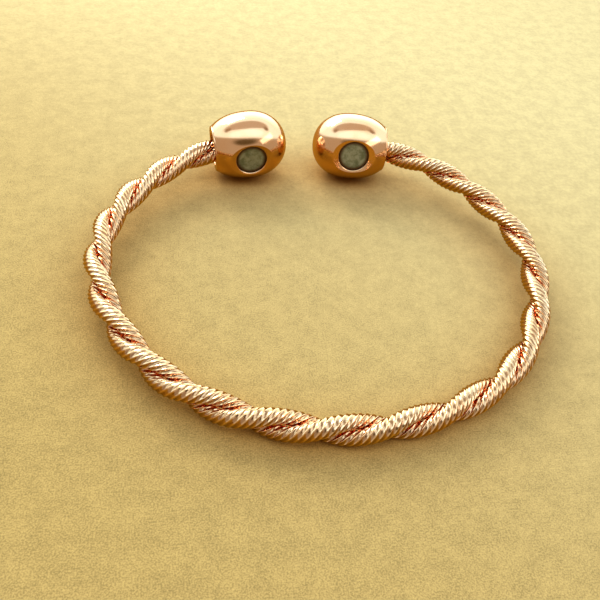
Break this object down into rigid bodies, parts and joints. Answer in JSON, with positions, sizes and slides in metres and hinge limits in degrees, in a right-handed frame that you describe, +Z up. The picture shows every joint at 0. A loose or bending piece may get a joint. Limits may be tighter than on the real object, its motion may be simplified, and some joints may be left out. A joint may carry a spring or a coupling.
{
  "type": "copper twist bracelet",
  "caption": "Open bangle of ridged copper wires twisted into a rope, with polished barrel end caps that hold round magnets against the wrist.",
  "frame": {"origin": "middle of the bangle's outer box, on the surface that it lies on", "axes": "+Z up; X across the bangle, from its left side to its right; the gap between the caps is at +Y and the front of the rope at -Y"},
  "size_m": [0.0688, 0.065, 0.0113],
  "materials": {
    "ridged_copper": "bright cut copper with sharp helical ridges",
    "polished_copper": "mirror-polished copper",
    "magnet_steel": "dull plated magnet face"
  },
  "bodies": {
    "root": {"wire_one": "ridged_copper", "wire_two": "ridged_copper", "left_cap": "polished_copper", "right_cap": "polished_copper", "left_magnet": "magnet_steel", "right_magnet": "magnet_steel"}
  },
  "joints": []
}
